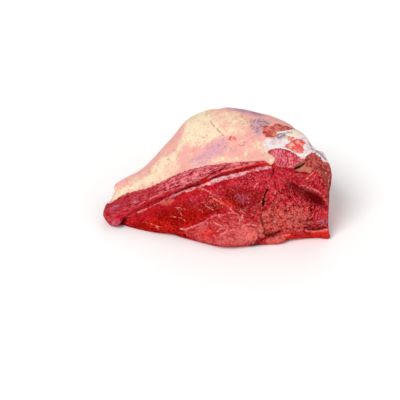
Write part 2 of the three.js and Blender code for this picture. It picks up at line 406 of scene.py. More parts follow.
# %% Swellings and hollows
FORMS = {  # centre, reach and lift
    "back of the tip": ((-136, -38, 33), 26, -5),
    "end of the fat": ((-125, -11, 38), 15, 4),
    "slope above the tip": ((-95, 2, 52), 36, -4),
    "middle of the slope": ((-75, 10, 68), 28, -2),
    "left shoulder": ((-58, 18, 86), 40, -3.2),
    "rim above the silver skin": ((78, 9, 119), 36, -4.4),
    "rim of the silver skin": ((103, -12, 107), 20, 3.6),
    "upper end of the cut": ((125, -40, 97), 16, 2.4),
    "end of the corner": ((133, -76, 30), 30, -2),
    "dip between the fat lobes": ((-8, 25, 118), 14, -1.2),
    "heel of the tip": ((-135, -58, 3), 20, 3),
    "flap on the ground": ((78, -98, 3), 20, 4),
    "belly on the ground": ((0, -104, 3), 40, 1.6),
    "point of the corner": ((134, -79, 2), 12, 2.5),
}


def form_relief():
    """Broad swellings and hollows, as balls pressed into the skin or out of it, in millimetres."""
    total = np.zeros(len(places))
    for centre, reach, lift in FORMS.values():
        gap = np.linalg.norm(places / MM - np.array(centre), axis=1)
        total += lift * hill(gap / reach)
    return total


forms = form_relief()
print("forms:", len(FORMS), "highest, mm:", round(float(forms.max()), 1))

# %% [markdown]
# ## Unevenness by kind of surface
#
# Fat lies in soft lobes. Meat cut across the grain is a crowd of small bundles with cracks between them, and
# meat along the grain is nearly smooth. Each is a kind of noise, and a mask says where it belongs.

# %% Masks for the kinds of lean surface
CUT_GRAIN = [
    (236, 176), (262, 168), (300, 172), (340, 185), (345, 250), (262, 250), (258, 226), (244, 212),
    (226, 196),
]
PALE_APRON = [
    (184, 230), (192, 227), (200, 223), (212, 216), (222, 214), (236, 215.4), (246, 214.6), (253, 221),
    (258, 229), (258, 240), (252, 248), (225, 252), (202, 247), (190, 240),
]
CUT_END = (0.35, 0.75)  # unseen normals that point this much along x belong to the cut end
APRON_CALM = 0.75  # the share of the cut grain that the apron is without

cut_grain = brushed(-6, 8, CUT_GRAIN) + step(*CUT_END, normals[:, 0]) * hidden
pale_apron = brushed(-2, 3, PALE_APRON)
lean = step(1, -1, fat)
cut_grain *= 1 - APRON_CALM * pale_apron
print("cut grain on", round(float((cut_grain * lean > 0.5).mean()), 2), "of the skin")

# %% Bundles with cracks between them
CELL_WIDTH = 5.6  # millimetres
SWIRL_WIDTH, SWIRL_REACH = 9, 2.6  # how wide the swirls are, and how far they push the cells about


def bundles(points, width, seed):
    """Rounded cells with cracks between them: 0 in the cracks, about 1 on the cells."""
    offset = Vector((seed * 3.7, seed * 11.9, seed * 6.3))
    scale = 1 / (width * MM)
    result = np.empty(len(points))
    for k, p in enumerate(points):
        (first, second, *_), _ = noise.voronoi(Vector(p) * scale + offset)
        result[k] = second - first
    return np.clip(result * 2.2, 0, 1)


swirl = np.stack([sway(places, SWIRL_WIDTH, seed) for seed in (21, 22, 23)], axis=1) * SWIRL_REACH * MM
wandering = places + swirl
cells = bundles(wandering, CELL_WIDTH, 4)

# %% Folds, strands and lobes of fat
SEAM_DIRECTION = (0.89, 0, 0.45)
FOLD_WIDTH, FOLD_PATCH = 10, 23  # millimetres
STRAND_WIDTH, STRAND_SQUEEZE = 5, 0.22  # squeezed along the seam, the noise comes out long there
WIDE_LOBE, SMALL_LOBE = 15, 7

fold_noise = np.abs(sway(wandering, FOLD_WIDTH, 5))
fold_patches = step(0, 0.4, sway(places, FOLD_PATCH, 12) + 0.25)
folds = 0.4 * step(0.05, 0.0, fold_noise) * cut_grain * lean * fold_patches
lobes = sway(places, WIDE_LOBE, 6) + 0.5 * sway(places, SMALL_LOBE, 7)
run, _, rise = SEAM_DIRECTION
turned = places @ np.array([[run, 0, -rise], [0, 1, 0], [rise, 0, run]])
strands = np.abs(sway(turned * [STRAND_SQUEEZE, 1, 1] + swirl * 0.6, STRAND_WIDTH, 13))
print("folds on", round(float((folds > 0.1).mean()), 3), "of the skin")

# %% All of the relief, moved out along the normals
BUNDLE, FOLD, CALM, STRAND, LOBE, PIT, WAVE = 0.6, 0.8, 0.25, 0.8, 0.75, 0.3, 0.7  # heights in millimetres
CALM_WIDTH, PIT_WIDTH, WAVE_WIDTH = 6, 8, 26
FAT_STEP, FAT_DROP = 1.2, 0.3
FAT_EDGE = (-1.4, 1.4)  # the step at the edge of the fat begins and ends this far inside it
MIDDLE = 0.6  # the height between a crack and a cell that stays where it is
SOLE_FADE = (0.5, 7)  # no unevenness below the first height above the ground, all of it above the second

strip_here = brushed(-1, 2, RIDGE + SEAM[::-1]) * lean
pits = np.clip(bundles(wandering, PIT_WIDTH, 10), 0, 0.5)
unevenness = cut_grain * lean * BUNDLE * (cells - MIDDLE) - FOLD * folds
unevenness += (1 - cut_grain) * lean * CALM * sway(places * [0.5, 1, 1], CALM_WIDTH, 9)
unevenness += strip_here * STRAND * (np.clip(strands * 4, 0, 1) - MIDDLE)
unevenness += (1 - lean) * (LOBE * lobes + PIT * pits)
unevenness += WAVE * sway(places, WAVE_WIDTH, 8)
sole_fade = step(*SOLE_FADE, places[:, 2] / MM)
relief = carving + forms + unevenness * sole_fade
relief += (FAT_STEP * step(*FAT_EDGE, fat) - FAT_DROP) * sole_fade
moved = places + normals * (relief * MM)[:, None]
print("relief, mm:", round(float(relief.min()), 1), "to", round(float(relief.max()), 1))

# %% [markdown]
# ## Trimming to the outline
#
# A carver checks the outline against a template and trims what stands out. The template is the outline of the
# meat in the photograph. Whatever shows outside it moves straight in, in the plane of the picture. Near the
# ground it moves along the ground instead, so that the foot stays down.

# %% Trim what shows outside the outline
OUTLINE = [
    (102, 211), (103, 207.5), (107, 203.4), (111.4, 200.6), (112.4, 196), (113.6, 190), (115.4, 184.6),
    (122, 180), (129, 176.2), (138.8, 171.3), (151.8, 159.9), (163.2, 146.9), (174.6, 133.1), (181.1, 125.8),
    (190.8, 116.8), (200.6, 112), (210.3, 109.2), (218.5, 109.2), (226.6, 107.1), (236.4, 107.6),
    (252.6, 111.1), (268.9, 115.2), (285.1, 121.7), (296.5, 128.2), (306.3, 137.2), (312, 145.4), (318, 150),
    (323, 151.8), (326, 157), (330, 164.8), (332.3, 173), (331.5, 181), (329.9, 194), (329, 203.8),
    (328.3, 220), (329, 233), (330.4, 239), (308, 238.4), (290, 239.4), (283, 243), (275.4, 245.3),
    (257.5, 244.9), (246.1, 246.9), (220.1, 246.9), (203.8, 243.7), (194.1, 241.2), (181.1, 237.2),
    (171.3, 233.9), (158.3, 233.1), (146, 232.6), (134, 230.4), (124, 225), (121.6, 225), (116.4, 228.4),
    (112.6, 227.2), (109, 224.4), (105, 219), (102.6, 214.6),
]
TRIM_SOFTNESS = 1.5  # millimetres
NEAR_OUTLINE = 5.0
LIFTS_FROM = (4.0, 16.0)  # below the first height a trim only slides, above the second it only lifts


def inward(near_spots, outline, reach=0.5):
    """The direction in the photograph's frame that leads straight into an outline."""
    slopes = []
    for move in np.array([(reach, 0), (0, reach)]):
        slopes.append(into_outline(near_spots + move, outline) - into_outline(near_spots - move, outline))
    slope = np.stack(slopes, axis=1)
    return slope / np.maximum(np.linalg.norm(slope, axis=1), TINY)[:, None]


moved_spots = in_photo(moved)
inside_mm = into_outline(moved_spots, OUTLINE) * MM_PER_PIXEL
near = np.flatnonzero(inside_mm < NEAR_OUTLINE)
depth_mm = inside_mm[near] + TRIM_SOFTNESS / 3
trim = 0.5 * (np.hypot(depth_mm, TRIM_SOFTNESS) - depth_mm) * MM
direction = inward(moved_spots[near], OUTLINE)
lifts = step(*LIFTS_FROM, moved[near, 2] / MM)[:, None]
slide = np.array([0, 1 / UPWARD[1], 0])
rise = lifts * np.array(UPWARD) + (1 - lifts) * slide
moved[near] += trim[:, None] * (direction[:, :1] * [1, 0, 0] - direction[:, 1:] * rise)
moved[:, 2] = np.maximum(moved[:, 2], 0)
put(beef, moved)
smoothed(beef, 1)
print("furthest outside before the trim, mm:", round(float(-inside_mm.min()), 1))

# %% [markdown]
# ## Masks for the material
#
# A painter would block in the colours with a few brushes. Here each brush is an outline or a path in the
# photograph's frame, kept on the skin as a distance in millimetres. The material turns the distance into an
# edge and roughens it with noise, which stays sharp however coarse the skin is.

# %% Patches of colour on the fat cap
CREAM_PATCHES = [
    [(176, 151), (180, 141), (184, 131), (191, 120), (200, 114), (207, 114), (213, 121), (222, 134),
     (216, 139), (206, 143), (196, 145), (186, 147), (178, 152)],
    [(112, 198), (119, 190), (132, 183), (146, 175), (156, 165), (164, 156), (173, 152), (178, 155),
     (170, 163), (162, 168), (156, 176), (148, 186), (132, 192), (118, 198.5)],
    [(239, 141), (245, 140), (242.6, 145)],
]
PEACH_PATCHES = [
    [(212, 116), (224, 112), (234, 113), (243, 117.5), (247.5, 125), (243, 133), (238, 137.5), (229, 136.5),
     (221, 132), (214, 123)],
    [(196, 164), (206, 160), (222, 157.6), (238, 158), (232, 161), (214, 163.6), (198, 168)],
    [(262, 150), (270, 152), (275.4, 157), (274.4, 166), (268, 166), (268, 158)],
    [(158, 172), (172, 164), (182, 166), (170, 176), (156, 184)],
    [(252, 143), (259, 143), (261, 149), (254, 150)],
    [(184, 128), (192, 116), (204, 108), (216, 108), (214, 118), (200, 122)],
    [(282, 133), (297, 130.4), (300, 133), (293, 138), (284, 137)],
]
LILAC_PATCHES = [
    [(205, 150), (212, 144), (218, 138.6), (224, 138.6), (227, 144), (224, 151), (216, 155), (207, 155)],
    [(192, 162), (199, 156), (208, 155), (212, 158), (204, 163.6), (196, 166)],
    [(228, 107), (244, 108), (258, 111), (262, 114), (250, 114), (240, 112), (229, 110.5)],
]
STREAKED = [
    [(250, 122), (256, 119), (264, 119), (271, 122.6), (265, 127), (262.4, 132), (257, 136.6), (252, 129)],
    [(272, 137), (278, 133), (288, 131), (292, 132.6), (286, 137), (276, 139.4)],
    [(236, 108.6), (250, 110), (264, 114.6), (262, 117), (250, 114.4), (238, 112)],
]


def paint_all(masks):
    for name, mask_values in masks.items():
        paint(beef, name, mask_values)
    print("masks:", ", ".join(masks))


PATCH_WIDTH = 42  # millimetres, on the side that the photograph doesn't show
patchy = sway(places, PATCH_WIDTH, 11)
cream = brushed(-7, 5, *CREAM_PATCHES) + step(-0.05, 0.3, patchy) * hidden
paint_all({
    "fat": fat,
    "cream": cream,
    "lilac": brushed(-5, 3, *LILAC_PATCHES) + step(0.2, 0.5, -patchy) * hidden,
    "streaked": brushed(-3, 3, *STREAKED),
    "peach": brushed(-6, 4, *PEACH_PATCHES),
})
print("cream on", round(float((cream > 0.5).mean()), 2), "of the skin")

# %% Silver skin and bared meat on the fat cap
SILVER_SKIN = [
    (262, 143), (269, 139), (277, 137), (284, 131.6), (296, 128), (307, 134), (314, 143), (326, 149),
    (330, 160), (324, 164), (318, 158.4), (311, 156), (305, 160), (300, 160), (295, 156), (286, 151),
    (275, 150), (269, 153), (266, 151),
]
BARE_PATCHES = [
    [(262.2, 127.6), (266, 126), (270.2, 126.4), (273, 125), (275.6, 122.6), (279, 122.4), (284, 124.6),
     (289, 125.4), (294.4, 129), (284, 130.6), (276, 132), (277.4, 137), (271.4, 138), (264, 136.4)],
    [(284.8, 146.6), (288.6, 143.6), (293, 140.6), (298, 139.8), (304.6, 142.6), (305, 145), (302, 147),
     (304, 150.4), (302.6, 153.4), (297, 153.4), (290.4, 150.2)],
    [(287.6, 137.2), (290, 136.6), (294.4, 138.8), (288.6, 140.6)],
    [(228.6, 140), (231.4, 135.8), (233.4, 136.6), (237.6, 140.4)],
]
RIM_LINE = [(287, 125.6), (297, 130.6), (306, 138.6)]
RIM_WIDTH = 1.3

paint_all({
    "silver": -drawn(-deepest(SILVER_SKIN)),
    "bare": -drawn(-np.maximum(deepest(*BARE_PATCHES), RIM_WIDTH - nearest_line(RIM_LINE))),
    "fresh": brushed(-2, 2, *BARE_PATCHES[1:]),
})

# %% Fine lines on the fat cap, partly painted highlights and painted shadow
GOLDEN_LINES = [
    [(211, 122.5), (214, 126), (217.6, 129.6), (223.5, 135.6)], [(200, 136), (202.6, 137.6), (205.4, 138)],
    [(241, 117), (246.4, 120.4), (247.4, 124)], [(168, 159), (170, 160.6)],
    [(239.6, 145.4), (243, 145.6), (245.6, 142)],
]
# Slate lines, partly painted shadow: bluish grey under the white hem at the rim and under the bared patch.
SLATE_AND_SHADOW_LINES = [
    [(278, 149.6), (286.3, 150.4), (292, 153.6), (299, 157.4), (304.6, 160)],
    [(311, 149), (316, 153), (320.6, 157), (325, 160.6)], [(258, 121), (264, 121.6), (269.6, 124)],
    [(277, 138.4), (284, 135.6)], [(309.4, 144.6), (311, 147.6)],
]
# White lines, partly painted highlights along the raised hems and edges of the silver skin.
WHITE_AND_HIGHLIGHT_LINES = [
    [(274, 134), (284, 131.6), (293, 129.8), (300, 130.4)],
    [(275, 148.4), (286, 148.6), (295.5, 152.6), (302, 156)], [(304.6, 157), (308, 153), (311.4, 151)],
    [(309, 142), (313.4, 147), (318, 150.2), (322.6, 152.4), (325.8, 157)],
    [(286, 147), (290, 143.2), (294, 140.6)],
]

paint_all({
    "golden": drawn(nearest_line(*GOLDEN_LINES)),
    "slate_and_shadow": drawn(nearest_line(*SLATE_AND_SHADOW_LINES)),
    "white_and_highlight": drawn(nearest_line(*WHITE_AND_HIGHLIGHT_LINES)),
})

# %% [markdown]
# ## Masks of the lean
#
# The lean shows what the knife met. White threads lie on the main muscle, cracks open where bundles part,
# and a pale hem runs where the main muscle was freed from the cap muscle; along its lit edge the hem is
# partly a painted highlight. Other marks are painted light and shade: painted shade in hollows, folds,
# creases, cracks, the knife slit and the recess under the lip, and painted highlights on ridges, ledges, the
# strip of cap muscle and some pink and lilac patches. Such marks could be painted on an image, but an image
# needs a flat layout of the skin, and its detail ends at its pixels. Short paths and outlines stay easy to
# change, so they are used again.

# %% The strip of cap muscle, with a painted highlight and painted shade
TIP_END = [(112, 228), (98, 222), (98, 206)]
LOWER_STRIP = [
    (112, 219), (125, 212.6), (133, 208.4), (146, 202.2), (159, 195.4), (169, 190.8), (184, 186.4),
    (200, 180.6), (212, 173.6), (227, 168.6), (244, 165.8), (262, 163), (270, 163),
]
# Painted highlight: a paler band along the upper part of the strip of cap muscle.
HIGHLIT_STRIP = [
    (176, 180), (190, 172), (206, 167.4), (228, 163.6), (250, 161.6), (264, 161.6), (250, 164), (228, 167),
    (210, 172), (192, 180),
]
TIP_SHADE = [(104, 207), (110, 201), (122, 197), (130, 200), (124, 208), (112, 213)]
STRIP_SMOOTH = (176.0, 150.0)  # the strip is bare of strands left of the second column

cap_strip = brushed(-1, 1.5, RIDGE + SEAM[::-1] + TIP_END)
paint_all({
    "cap_strip": cap_strip,
    "low_strip": brushed(-1.5, 2, LOWER_STRIP + SEAM[::-1]),
    "strip_highlight": brushed(-2, 2, HIGHLIT_STRIP),
    "strip_smooth": step(*STRIP_SMOOTH, spots[:, 0]) * cap_strip,
    "tip_shade": brushed(-3, 3, TIP_SHADE),
})

# %% The pale hem of the main muscle, partly a painted highlight on its lit edge
MUSCLE_EDGE = [
    (124.4, 220), (128, 217), (134, 214), (141, 211), (151, 206.6), (163, 200.4), (174.7, 194.8),
    (186, 190.6), (199, 186.6), (210, 182.6), (220, 178.6), (230, 176.2), (240, 174.2), (250, 171),
    (260, 168.8), (269, 167),
]
HEM_THIN, HEM_GROWTH, HEM_SWAY, HEM_WAVE = 0.55, 1.2, 1.2, 16  # millimetres
HEM_ABOVE, HEM_BELOW = 1.1, 0.75  # distances count for more above its line, so the lower side frays out
HEM_WIDENS = (0.35, 0.62)  # shares of the edge's length, from the tip
HEM_WHITENS = (0.3, 0.6)

edge_gap, edge_share = to_path(spots, rounded(MUSCLE_EDGE))
hem_width = HEM_THIN + HEM_GROWTH * step(*HEM_WIDENS, edge_share) + HEM_SWAY * sway(places, HEM_WAVE, 31)
hem_gap = np.abs(edge_gap) * np.where(edge_gap > 0, HEM_ABOVE, HEM_BELOW)
paint_all({
    "hem": -drawn(hem_gap * MM_PER_PIXEL - hem_width),
    "hem_white": 0.4 + 0.6 * step(*HEM_WHITENS, edge_share),
})

# %% Threads, and painted highlights on the ledges
THREADS = [
    [(145.2, 222.7), (150, 223.6), (155.6, 225.5), (162, 227)], [(155.6, 225.5), (158.8, 229.4)],
    [(175.5, 207.1), (179.5, 211.1), (181.9, 215.9)],
    [(170.8, 216.7), (178, 217.4), (182.7, 219.1), (185.9, 221.9)],
    [(194.7, 207.9), (199, 209.4), (202.7, 211.9)], [(174.7, 207.1), (182, 208), (189, 210.3)],
    [(209, 196), (213.5, 197.6), (217.8, 200.7)], [(198.7, 188.8), (206.6, 190.4), (209.8, 192)],
    [(216, 196.4), (222, 200.4), (226.8, 206.3), (234, 212.5)], [(225, 200), (229, 203), (233, 207)],
    [(239.3, 207.1), (242.4, 210), (243.8, 214.3)], [(238.4, 181.3), (242, 185.7)],
    [(257, 183), (255.4, 186), (253.6, 188.4)], [(314.3, 171.4), (310, 176), (307, 179.5)],
    [(310.7, 175), (305.4, 179.5)], [(261.6, 205.4), (258, 208)], [(239.3, 223.2), (242, 227.7)],
    [(180.3, 228.6), (187.5, 229), (192, 226.8), (197, 224.7)], [(213.4, 221.4), (220.5, 225.9)],
    [(132.5, 207), (146, 201), (158.8, 194.4), (168.4, 190.4)], [(205, 206), (212, 209), (217, 214)],
    [(247, 196), (249, 200), (248.7, 203)], [(262, 201), (259, 205)], [(283, 213), (288, 216), (296, 216.4)],
    [(231, 189), (236, 192)], [(316.6, 173.6), (313, 178.4), (310.6, 181)], [(322, 164), (323.6, 168)],
    [(326.4, 172), (324.6, 180), (325.6, 188)], [(329.6, 176), (328, 186)], [(298, 184), (300, 187)],
    [(279, 170), (282, 173)],
]
# Painted highlight: red lines along the lit upper edges of the apron's ledges.
LEDGE_HIGHLIGHTS = [
    [(183, 229), (192, 226.2), (200, 222.4), (208, 217.6), (215, 214.4)],
    [(222, 213.2), (234, 214), (244, 212)],
]

paint_all({"thread": drawn(nearest_line(*THREADS)), "ledge_highlight": drawn(nearest_line(*LEDGE_HIGHLIGHTS))})
print("threads:", len(THREADS))

# %% Painted highlights on ridges, painted shade in cracks and knife cuts
# Painted highlights: pale pink lines along lit ridge edges, on the apron, the pale lobe, the lip and the
# corner band.
LIT_RIDGES = [
    [(180.6, 229.2), (186, 229.4), (191, 227)],
    [(191, 227.4), (197, 225.2), (203, 222.4), (208, 219), (213, 216), (217.6, 214.4)],
    [(217.6, 214.4), (221, 217)], [(223, 215.4), (229, 213), (236, 213.6), (241, 217)],
    [(231, 206), (231.6, 210.4), (234.6, 213)], [(240.4, 210.4), (243.4, 213), (242, 216.6), (239.4, 221)],
    [(214, 222.6), (218, 224.6), (222.6, 226.6)], [(216.6, 231.6), (221, 228.6), (225.4, 228.4)],
    [(219, 235), (223, 233), (228, 231), (235, 229.4)], [(238.6, 223), (240.6, 226), (246, 229)],
    [(246, 228.4), (251, 228.2), (255.4, 230.6), (257.6, 235), (256, 239.6), (252.6, 244.4)],
    [(199, 187.4), (204, 189), (208.4, 191.6), (213, 195)],
    [(213, 198.6), (219, 201.6), (225, 204.4), (230, 208)], [(243, 226), (249, 224.4), (257, 226)],
    [(306, 230.6), (313, 231.6), (328, 229.8)], [(296, 223.6), (297.6, 227)],
    [(222, 171.4), (232, 169), (242, 166.4), (252, 163.8)], [(208, 178.4), (214, 175.6), (219, 173.6)],
    [(300, 185), (309, 187.6), (318, 191.6), (324, 196.6)], [(282, 236), (290, 234.8)],
    [(259.6, 231), (264, 230.6)],
]
# Painted shade: dark lines in the cracks between bundles and along the shadows under the flaps and over the
# corner band.
CRACK_AND_SHADOW_LINES = [
    [(260.6, 218), (262.6, 223), (263.6, 228), (264.6, 233)],
    [(265.4, 233.6), (268, 235.6), (274, 235), (282, 231.4)], [(283.4, 232), (283.6, 235.4), (287, 238.6)],
    [(290, 233.2), (294, 235.4), (300, 236), (306, 233.2)], [(316, 168.6), (319, 167.6), (321, 165.4)],
    [(304, 226.6), (308, 229), (314, 229.4), (320, 228.4), (328, 228)],
    [(299, 221.8), (303, 223.4), (312.6, 227)], [(313, 226.8), (315.4, 221.6), (319, 217.4)],
    [(309.6, 207), (312, 213), (309.6, 217.6), (306, 222)], [(286, 204), (286.6, 212)],
    [(293, 205.6), (299, 206), (305, 207)], [(274.2, 168.5), (273.6, 172), (273, 176.5)],
    [(255.6, 246.4), (262, 240.6), (268, 237.6), (275, 236.6)], [(296, 172.6), (303, 173.8), (311, 174.2)],
    [(310, 231), (310.4, 237)], [(172, 195.4), (180, 191), (190, 187.4), (199, 184)],
    [(206, 177.6), (213, 173.6), (224, 169.6)], [(210, 180), (214, 177.8), (219, 176)],
    [(236, 171), (248, 167.8), (258, 165.6)], [(251, 244.6), (256, 241), (258, 238.6)],
    [(239, 222), (241, 217), (244, 214)], [(182, 231), (183, 234.6), (186, 237.6)],
]
# Painted shade: the knife slit and the cut beside it are painted near-black inside.
SLIT = [(294.4, 169), (297.6, 168.2), (300.6, 166.4), (303, 164.4), (305, 162.6)]

paint_all({
    "ridge_highlight": drawn(nearest_line(*LIT_RIDGES)),
    "shaded_crack": drawn(nearest_line(*CRACK_AND_SHADOW_LINES)),
    "shaded_slit": drawn(nearest_line(SLIT, CUT)),
})
print("ridges:", len(LIT_RIDGES), "cracks:", len(CRACK_AND_SHADOW_LINES))

# %% Painted shade in hollows, the recess and other shaded places
# Painted shade: deeper red in the hollow of the main muscle, on the cheek above the lip and in a dim band
# across the cut meat.
HOLLOW_SHADE = [
    (150, 211), (164, 206), (184, 204), (204, 206), (220, 210), (212, 214), (198, 219), (182, 223),
    (160, 219),
]
CHEEK_SHADE = [(280, 171), (300, 174), (316, 177), (322, 190), (310, 187), (296, 182), (282, 180)]
DUSK = [(224, 190), (240, 187), (256, 190), (263, 198), (256, 206), (240, 202), (228, 198)]
# Painted shade: the recess under the overhanging lip is painted dark red, and the narrow right side, which
# turns away from the light, at half strength.
RECESS_SHADE = [
    (286, 181.6), (294, 184.4), (308, 189), (318, 193), (324, 199), (324.6, 208), (317, 208), (308, 204),
    (299, 197), (290, 189),
]
RIGHT_SIDE_SHADE = [(321, 164), (327, 170), (332, 182), (331, 206), (327, 206), (325, 190), (321, 176)]
# Painted shade: these places, and every stroke carved into the skin, are painted dark red, the more the
# deeper the stroke.
SHADED = [
    [(306, 190.6), (314, 192.6), (320, 195.6), (323, 200), (321, 204), (314, 202), (308, 197)],
    [(264, 234), (272, 234), (281, 231.4), (276, 235.4), (266, 236)],
    [(304, 227.6), (316, 228.4), (328, 227), (318, 230), (309, 230)],
    [(120, 225), (124, 222), (124.4, 226), (121, 228)],
    [(196, 242.6), (212, 246), (208, 247.4), (196, 244.6)],
    [(250, 244), (258, 243), (262, 245.4), (252, 247)],
]
DARK_DEPTH = 4.5  # carved this deep, the skin is as dark as it gets

shades = [brushed(-6, 5, HOLLOW_SHADE), 0.5 * brushed(-3, 4, CHEEK_SHADE), 0.6 * brushed(-4, 5, DUSK)]
paint_all({
    "hollow_shade": np.max(shades, axis=0),
    "recess_shade": np.maximum(brushed(-5, 7, RECESS_SHADE), 0.5 * brushed(-3, 3, RIGHT_SIDE_SHADE)),
    "crease_shade": np.clip(np.maximum(-carving / DARK_DEPTH, brushed(-2.5, 2.5, *SHADED)), 0, 1),
})

# %% Regions of the lean
PALE_LOBE = [
    (212, 237), (217, 231), (228, 227.4), (240, 227), (249, 228.6), (255, 232), (256, 237), (251, 243),
    (240, 246), (224, 246), (213, 243),
]
LOW_RIGHT = [(260, 214), (276, 206), (298, 208), (309, 214), (311, 224), (302, 230), (280, 232), (262, 233)]
# Crimson along the upper part of the lean, partly a painted highlight where the surface turns up to the
# light.
CRIMSON_AND_LIT_BAND = [
    (128, 221), (160, 204), (200, 188), (235, 177), (268, 167), (300, 172), (322, 182), (318, 189),
    (300, 185), (280, 182), (262, 192), (240, 192), (206, 196), (162, 212), (134, 224),
]
DRIED = [
    (303, 160), (308, 155), (317, 153), (325, 158), (331, 168), (335, 182), (333, 210), (329.5, 214),
    (327, 196), (324, 182), (315, 171), (305, 164),
]
NETWORK = [
    (186, 203), (196, 194), (212, 192), (232, 186), (252, 188), (264, 194), (266, 204), (256, 209),
    (246, 214), (232, 213), (214, 209), (198, 210),
]

network = brushed(-5, 5, NETWORK)
paint_all({
    "apron": pale_apron,
    "pale_lobe": brushed(-5, 5, PALE_LOBE),
    "low_right": brushed(-5, 5, LOW_RIGHT),
    "crimson_and_highlight": brushed(-5, 5, CRIMSON_AND_LIT_BAND),
    "dried": brushed(-5, 5, DRIED),
    "network": network,
    "cut_grain": cut_grain,
    # painted shade: the folds are painted darker
    "fold": folds,
})

# %% Small patches on the lean, some partly painted highlights
PINK_PATCH = [
    (267, 151.6), (273.6, 149.6), (286.3, 150.6), (295.5, 155.4), (303.5, 158.8), (304.6, 163),
    (294.3, 167.7), (276, 165.4), (274.8, 157.4),
]
BRIGHT_PATCHES = [
    [(310, 232), (320, 231.6), (330, 231.4), (332, 240), (311, 239.6)],
    [(283, 233), (292, 233.4), (304, 234.6), (307, 238.6), (296, 240.4), (284, 239)],
    [(200, 183), (203, 178.4), (207, 177), (209.6, 181), (205, 183.4)],
    [(232, 172), (248, 166.4), (262, 162.4), (268, 163), (260, 166)],
    [(203, 231), (212, 230.4), (216, 234), (208, 238), (202, 236)],
    [(207, 227.6), (216, 227.6), (216, 230), (207, 230)],
    [(212, 199), (224, 198), (236, 203), (232, 209), (222, 205)],
]
# Rosy patches, partly painted highlights: the top edge of the corner band and the rim of the pale lobe are
# painted highlights, the flap and the rest are pink meat.
ROSY_AND_HIGHLIT_PATCHES = [
    [(268, 238.4), (277, 235.6), (285, 234), (285, 239), (276, 243), (267, 244)],
    [(308, 229.6), (318, 229), (329, 228.4), (329, 231), (318, 231.6), (309, 232)],
    [(244, 232), (252, 229.6), (257.4, 234), (253, 241), (246, 239)],
    [(256.6, 225), (262, 224), (265.6, 236), (259.6, 237)], [(160, 203), (168, 199), (174, 200), (168, 205)],
]
# Lilac, partly a painted sheen: a lilac highlight on the tip lobe and at its foot, and a lilac tint on the
# right rim, in the net and by the corner.
LILAC_AND_SHEEN_PATCHES = [
    [(108, 207.6), (112, 205), (118, 204.4), (117, 208), (111, 209.6)],
    [(110, 224), (114, 221), (118.6, 219.6), (120.4, 222.6), (115.4, 226.4)],
    [(317, 223), (321, 220), (328, 221.6), (326, 225)],
    [(236, 195), (244, 194.6), (249, 199), (246, 203), (238, 202)],
    [(133, 200.4), (137, 199.6), (137.6, 202.4), (134, 203)],
    [(329, 163), (331.4, 170), (332.6, 180), (331, 190), (328.6, 190), (329.4, 175)],
]
FLAP = [
    (295, 169.6), (299, 168.4), (302, 166.6), (304.8, 163.8), (306, 166.8), (311.4, 168), (310.4, 173),
    (304, 171.4), (299.5, 171.8),
]
TORN_SIDE = [(293.4, 168), (298.2, 163.2), (304.6, 161.6), (300, 166), (296.6, 168.4)]

paint_all({
    "pink_patch": brushed(-1, 1, PINK_PATCH),
    "bright": brushed(-2.5, 2, *BRIGHT_PATCHES) * (1 - 0.45 * pale_apron) * (1 - 0.4 * network),
    "rosy_and_highlight": brushed(-2, 1.5, *ROSY_AND_HIGHLIT_PATCHES),
    "lilac_and_sheen": brushed(-2.5, 3, *LILAC_AND_SHEEN_PATCHES) * (1 - 0.6 * network),
    "tan": brushed(-0.8, 0.8, FLAP),
    "torn": brushed(-0.8, 0.8, TORN_SIDE),
})

# %% [markdown]
# ## Shader maths written as sums
#
# A Blender material is a graph of nodes, and a sum is a Math node. A small class wraps a socket and overloads
# the operators, so that maths on masks reads as a formula. One more method makes every other kind of node.

# %% A socket that can be added and multiplied


class Wire:
    """A socket of the material that is being made."""

    tree = None

    def __init__(self, socket):
        self.socket = socket

    @classmethod
    def node(cls, kind, settings=None, values=None, output=0):
        """Makes a node, fills its settings and its sockets, and returns one of its outputs."""
        made = cls.tree.nodes.new(kind)
        for name, value in (settings or {}).items():
            setattr(made, name, value)
        for name, value in (values or {}).items():
            if isinstance(value, Wire):
                cls.tree.links.new(value.socket, made.inputs[name])
            else:
                made.inputs[name].default_value = value
        return cls(made.outputs[output])

    @classmethod
    def maths(cls, operation, *terms):
        return cls.node("ShaderNodeMath", {"operation": operation}, dict(enumerate(terms)))

    def __add__(self, other):
        return Wire.maths("ADD", self, other)

    def __sub__(self, other):
        return Wire.maths("SUBTRACT", self, other)

    def __rsub__(self, other):
        return Wire.maths("SUBTRACT", other, self)

    def __mul__(self, other):
        return Wire.maths("MULTIPLY", self, other)

    __radd__ = __add__
    __rmul__ = __mul__

    def __abs__(self):
        return Wire.maths("ABSOLUTE", self)

    def ramp(self, low=0, high=1):
        """0 at low, 1 at high, softly; low may be the larger."""
        settings = {"interpolation_type": "SMOOTHSTEP"}
        return Wire.node("ShaderNodeMapRange", settings, {"Value": self, "From Min": low, "From Max": high})


material = bpy.data.materials.new("raw beef")
material.use_nodes = True
Wire.tree = material.node_tree
print("nodes to begin with:", [node.name for node in Wire.tree.nodes])

# %% Masks, mixes and layers


def mask(name):
    return Wire.node("ShaderNodeAttribute", {"attribute_name": name}, output=2)


def mix(below, above, share):
    """Two colours, mixed."""
    return Wire.node("ShaderNodeMix", {"data_type": "RGBA"}, {0: share, 6: below, 7: above}, output=2)


def mix_numbers(below, above, share):
    return Wire.node("ShaderNodeMix", {"data_type": "FLOAT"}, {0: share, 2: below, 3: above}, output=0)


def layered(colour, *coats):
    """A colour with others laid over it in turn, each by its own share."""
    for coat, share in coats:
        colour = mix(colour, coat, share)
    return colour


def dabs(name, noise, strength):
    """A mask broken up by noise."""
    return mask(name) * noise.ramp() * strength


EXPOSURE = 0.84  # a surface sends back this much of the light that its colour on the screen stands for


